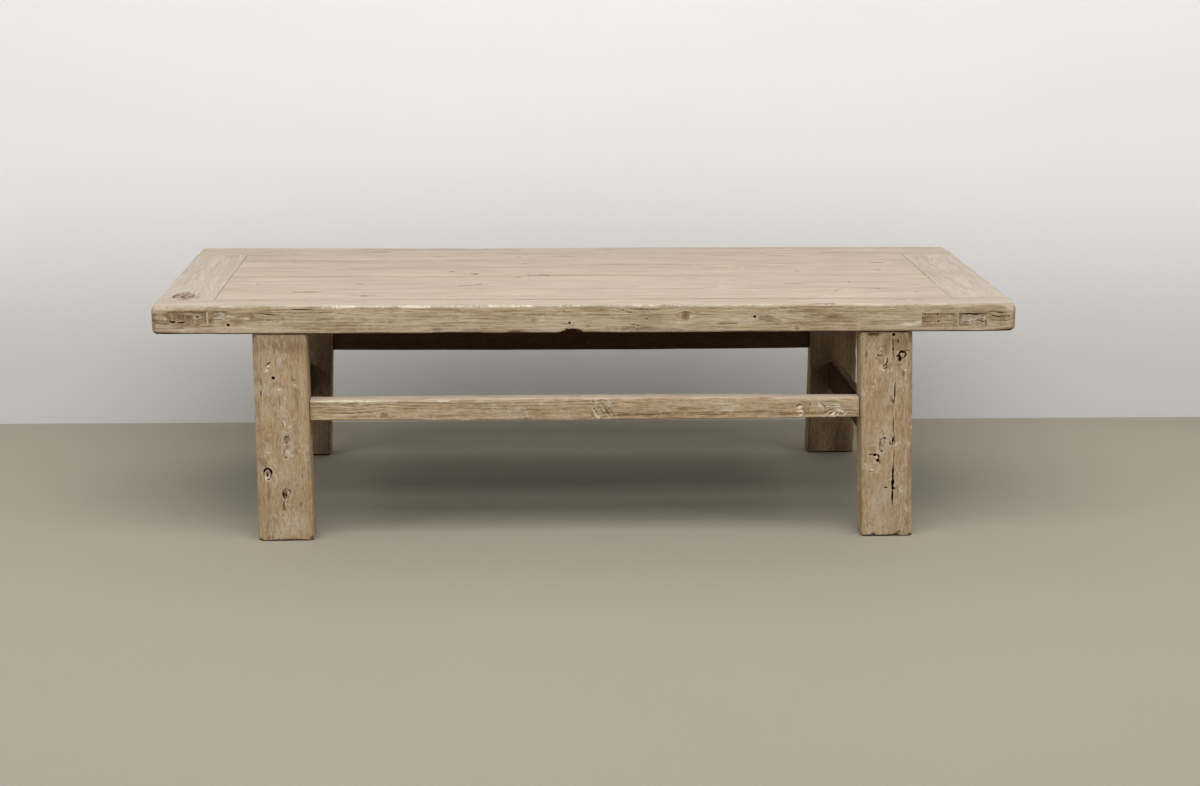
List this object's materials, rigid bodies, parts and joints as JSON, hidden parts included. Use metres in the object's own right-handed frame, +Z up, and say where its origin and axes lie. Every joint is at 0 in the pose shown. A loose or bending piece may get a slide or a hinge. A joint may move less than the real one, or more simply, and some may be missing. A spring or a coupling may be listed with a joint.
{
  "type": "kang table",
  "caption": "Low rustic table with a thick framed top, square legs, through-wedged joints and a stretcher on each side.",
  "frame": {"origin": "on the floor, under the middle of the table", "axes": "+X along the table, to the right seen from the front; +Y from the front to the back; +Z up"},
  "size_m": [1.5, 0.6318, 0.421],
  "materials": {
    "top_elm": "old elm scrubbed and sanded pale, matt, worn arrises",
    "panel_elm": "old elm boards, sanded flush, matt",
    "batten_elm": "old elm, sawn and left dark",
    "leg_elm": "old elm, weathered, knots and drying cracks, matt",
    "stretcher_elm": "old elm, hewn, pale outside and dark inside, matt",
    "wedge_elm": "end grain and patches, matt"
  },
  "bodies": {
    "root": {"front_rail": "top_elm", "back_rail": "top_elm", "left_end_rail": "top_elm", "right_end_rail": "top_elm", "panel_board_1": "panel_elm", "panel_board_2": "panel_elm", "panel_board_3": "panel_elm", "panel_board_4": "panel_elm", "panel_board_5": "panel_elm", "batten_left": "batten_elm", "batten_middle": "batten_elm", "batten_right": "batten_elm", "leg_front_left": "leg_elm", "leg_front_right": "leg_elm", "leg_back_left": "leg_elm", "leg_back_right": "leg_elm", "front_stretcher": "stretcher_elm", "back_stretcher": "stretcher_elm", "left_stretcher": "stretcher_elm", "right_stretcher": "stretcher_elm", "end_rail_wedges": "wedge_elm", "stretcher_wedges": "wedge_elm", "rail_patches": "wedge_elm"}
  },
  "joints": []
}
